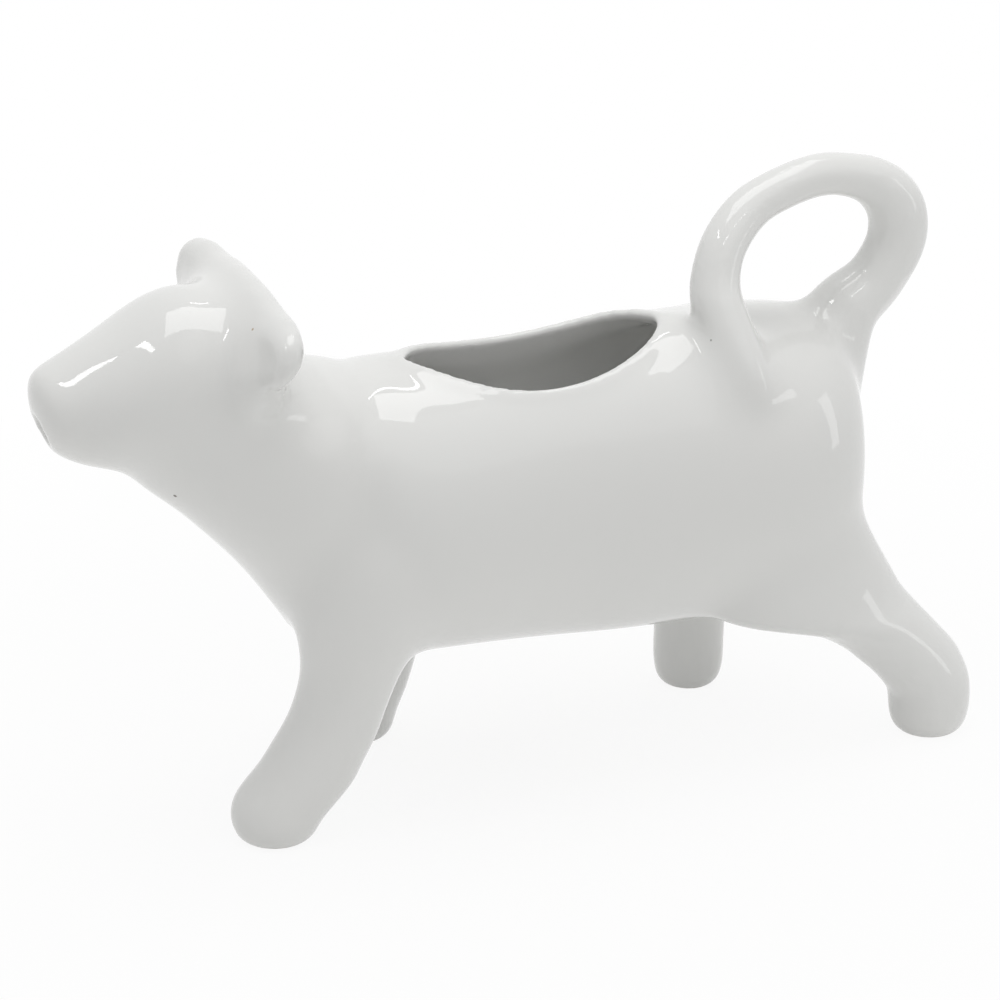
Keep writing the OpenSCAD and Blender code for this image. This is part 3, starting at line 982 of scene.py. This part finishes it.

# %% [markdown]
# ## Porcelain
#
# White porcelain under a clear gloss glaze is a pale diffuse body with a sharp
# mirror layer over it. Light that wanders through the body could be added, but it
# would stop at the joints between the parts and draw them as dark lines, so the
# body is plainly diffuse, and the glow of the real one inside is painted light: a
# whiter colour on the inner walls of the barrel.
# The glaze isn't quite even: it ripples a little, its tint drifts, and iron in
# the clay has burnt out to a few specks. The soles were wiped before the firing
# and are bare. All of that is worked out from the place on the jug, so it looks
# the same from every side.

# %% Shader maths on sockets
class Wire:
    """An output of a shader tree on which plain arithmetic works."""

    def __init__(self, tree, socket):
        self.tree, self.socket = tree, socket

    def node(self, kind, settings, inputs, out=0):
        """Any other node: its kind, its settings, then what goes into its sockets."""
        made = self.tree.nodes.new(kind)
        for key, value in settings.items():
            setattr(made, key, value)
        for key, value in inputs.items():
            if isinstance(value, Wire):
                self.tree.links.new(value.socket, made.inputs[key])
            else:
                made.inputs[key].default_value = value
        return Wire(self.tree, made.outputs[out])

    def math(self, operation, *values, clamp=False):
        """A number worked out from numbers."""
        settings = {"operation": operation, "use_clamp": clamp}
        return self.node("ShaderNodeMath", settings, dict(enumerate(values)))

    def vector(self, operation, *values, out=0):
        """A vector worked out from vectors, or a number if out is 1."""
        settings = {"operation": operation}
        return self.node("ShaderNodeVectorMath", settings, dict(enumerate(values)), out)

    def __add__(self, other):
        return self.math("ADD", self, other)

    def __radd__(self, other):
        return self.math("ADD", other, self)

    def __sub__(self, other):
        return self.math("SUBTRACT", self, other)

    def __rsub__(self, other):
        return self.math("SUBTRACT", other, self)

    def __mul__(self, other):
        return self.math("MULTIPLY", self, other)

    def __rmul__(self, other):
        return self.math("MULTIPLY", other, self)

    def __truediv__(self, other):
        return self.math("DIVIDE", self, other)

    def clamped(self):
        """This number, held between 0 and 1."""
        return self.math("ADD", self, 0, clamp=True)

    def blend(self, low, high):
        """The colour low where this is 0 and high where it is 1."""
        colours = {0: self, 6: low, 7: high}
        return self.node("ShaderNodeMix", {"data_type": "RGBA"}, colours, out=2)

    def along(self, axis):
        """How far this place lies along X, Y or Z, as axis is 0, 1 or 2, in mm."""
        return self.node("ShaderNodeSeparateXYZ", {}, {0: self}, out=axis) / MM

    def away(self, place):
        """The distance of this place from one given in mm, in mm."""
        return self.vector("DISTANCE", self, [v * MM for v in place], out=1) / MM

    def noise(self, size, detail=2):
        """Soft noise from 0 to 1 whose lumps are about size mm across."""
        inputs = {"Vector": self, "Scale": 1 / (size * MM), "Detail": detail}
        return self.node("ShaderNodeTexNoise", {}, inputs)


print("shader maths ready")

# %% A new material and the place on it
def new_material(name):
    """A material, its tree and its shader."""
    material = bpy.data.materials.new(name)
    material.use_nodes = True
    return material, material.node_tree, material.node_tree.nodes["Principled BSDF"]


def place_in(tree):
    """The place on the object that is shaded."""
    return Wire(tree, tree.nodes.new("ShaderNodeTexCoord").outputs["Object"])


material, tree, shader = new_material("porcelain")
here = place_in(tree)
height = here.along(2)
print("material", material.name)

# %% The tint of the glaze, and painted light inside the barrel
# The whiter inside colour is painted light: it stands in for the glow of light inside the barrel,
# not a different glaze.
BODY, BODY_COOL = (.88, .878, .858, 1), (.86, .864, .848, 1)
PAINTED_LIGHT_INSIDE = (.94, .94, .925, 1)
TINT_DRIFT = 34  # the size of the drifts in mm
INWARDS = -.3
INSIDE_FRONT, INSIDE_TOP, INSIDE_LOW = 22, BACK_Z + 4, 32  # how far the whiter inside reaches
colour = here.noise(TINT_DRIFT).blend(BODY, BODY_COOL)
facing = Wire(tree, tree.nodes.new("ShaderNodeNewGeometry").outputs["Normal"])
from_axis = here.vector("SUBTRACT", here, (0, 0, AXIS_Z * MM))
from_axis = here.vector("MULTIPLY", from_axis, (0, 1, 1))
facing_in_for_painted_light = (here.vector("DOT_PRODUCT", from_axis, facing, out=1) / MM * INWARDS).clamped()
painted_light_in_barrel = ((here.along(0) + INSIDE_FRONT).clamped() * (INSIDE_TOP - height).clamped()
             * (height - INSIDE_LOW).clamped())
# Painted light: the inner walls of the barrel that face its axis get the whiter colour.
colour = (facing_in_for_painted_light * painted_light_in_barrel).blend(colour, PAINTED_LIGHT_INSIDE)
print("tint of the glaze", BODY[:3], "and inside", PAINTED_LIGHT_INSIDE[:3])

# %% Specks, bare soles and the ripple
SPECKS = [  # place, radius, tint
    ((-62.6, -8.8, 65.1), .42, (.16, .14, .12, 1)),
    ((-50.4, -15.3, 95.8), .38, (.45, .30, .16, 1)),
    ((33.7, -13.8, 80.7), .25, (.42, .42, .40, 1)),
]
SPECK_EDGE = .5
BISCUIT = (.78, .755, .70, 1)
BARE_UP_TO, BARE_UNEVEN, BARE_LUMPS, BARE_EDGE = .55, .3, 3, .12
GLAZE_ROUGHNESS, BISCUIT_ROUGHER, GLAZE_IOR = .03, .7, 1.52
RIPPLE, RIPPLE_FINE, FINE_SHARE = 16, 5, .12  # two sizes of waves, and how much the fine counts
RIPPLE_STRENGTH, RIPPLE_DEPTH = .35, .2 * MM
for place, radius, tint in SPECKS:
    spot = ((radius - here.away(place)) / (radius * SPECK_EDGE)).clamped()
    colour = spot.blend(colour, tint)
bare = ((BARE_UP_TO + here.noise(BARE_LUMPS) * BARE_UNEVEN - height) / BARE_EDGE).clamped()
colour = bare.blend(colour, BISCUIT)
roughness = GLAZE_ROUGHNESS + bare * BISCUIT_ROUGHER
ripple = here.noise(RIPPLE, 1) + here.noise(RIPPLE_FINE, 0) * FINE_SHARE
bump = here.node("ShaderNodeBump", {}, {
    "Strength": RIPPLE_STRENGTH, "Distance": RIPPLE_DEPTH, "Height": ripple})
for key, wire in {"Base Color": colour, "Roughness": roughness, "Normal": bump}.items():
    tree.links.new(wire.socket, shader.inputs[key])
shader.inputs["IOR"].default_value = GLAZE_IOR
for piece in pieces:
    piece.data.materials.append(material)
print("specks:", len(SPECKS))

# %% [markdown]
# ## The studio
#
# The jug stood on white in a white room. Strong lamps would whiten the floor too,
# but they would also wash out the jug. So the floor and the world are white to
# the camera and in the glaze, and give a quieter light, and the floor keeps a
# soft shadow. The lamps are soft boxes and strips: each was put where the mirror
# direction at one of the photograph's highlights points.

# %% White floor
FLOOR_HALF, FLOOR_GAP = 3, .05
FLOOR_COLOUR, FLOOR_ROUGHNESS = (.9, .9, .895, 1), .9
WHITE_NEAR, WHITE_GAIN, WHITE_REACH = .88, .12, 190  # plain white from WHITE_REACH mm away
WHITE = (1, 1, 1, 1)


def seen(tree):
    """1 for rays from the camera and for rays that the glaze mirrors."""
    path = tree.nodes.new("ShaderNodeLightPath")
    camera_ray, glossy, through = (Wire(tree, path.outputs[name]) for name in (
        "Is Camera Ray", "Is Glossy Ray", "Is Transmission Ray"))
    return (camera_ray + glossy + through).clamped()


bm = bmesh.new()
bmesh.ops.create_grid(bm, x_segments=1, y_segments=1, size=FLOOR_HALF)
floor = finished("floor", bm)
floor.location.z = -FLOOR_GAP * MM
material, tree, shader = new_material("floor")
shader.inputs["Base Color"].default_value = FLOOR_COLOUR
shader.inputs["Roughness"].default_value = FLOOR_ROUGHNESS
here = place_in(tree)
whiter = (here.away((0, 0, 0)) / WHITE_REACH).clamped() * WHITE_GAIN + WHITE_NEAR
white = here.node("ShaderNodeEmission", {}, {"Color": WHITE, "Strength": 1})
mixed = here.node("ShaderNodeMixShader", {}, {
    0: seen(tree) * whiter, 1: Wire(tree, shader.outputs[0]), 2: white})
tree.links.new(mixed.socket, tree.nodes["Material Output"].inputs["Surface"])
floor.data.materials.append(material)
print("floor", 2 * FLOOR_HALF, "m across")

# %% White room
AMBIENT = .46
world = bpy.data.worlds.new("studio")
world.use_nodes = True
tree = world.node_tree
level = seen(tree) * (1 - AMBIENT) + AMBIENT
tree.links.new(level.socket, tree.nodes["Background"].inputs["Strength"])
tree.nodes["Background"].inputs["Color"].default_value = WHITE
bpy.context.scene.world = world
print("ambient light", AMBIENT)

# %% Lamps
AIM_UP = 50
LAMPS = {  # direction to it, distance in m, width and length in m, radiance
    "overhead box": ((.02, .08, 1), 1, (.66, .60), 2.6),
    "round soft box": ((.30, -.56, .77), 1, (.95, .95), .25),
    "strip over the head": ((-.50, -.05, .86), .95, (.34, .045), 8),
    "strip over the back": ((.34, .34, .88), .95, (.40, .035), 7),
    "panel at the rump": ((.85, -.49, .17), 1.1, (.16, .70), 1.6),
    "strip for the tail": ((.12, -.85, 1), 1, (.50, .02), 8),
}
for name, (way_to, distance, (width, length), radiance) in LAMPS.items():
    light = bpy.data.lights.new(name, "AREA")
    light.shape = "DISK" if name.startswith("round") else "RECTANGLE"
    light.size, light.size_y = width, length
    light.energy = radiance * math.pi * width * length
    lamp = placed(name, light)
    direction = Vector(way_to).normalized()
    lamp.location = direction * distance + Vector((0, 0, AIM_UP)) * MM
    lamp.rotation_euler = direction.to_track_quat("Z", "Y").to_euler()
    if name.endswith("for the tail"):
        lit = bpy.data.collections.new(name)
        lit.objects.link(next(piece for piece in pieces if "tail" in piece.name))
        lamp.light_linking.receiver_collection = lit
    print(f"{name}: radiance {radiance}, {light.energy:.2f} W")
bpy.context.scene.view_settings.view_transform = "Standard"
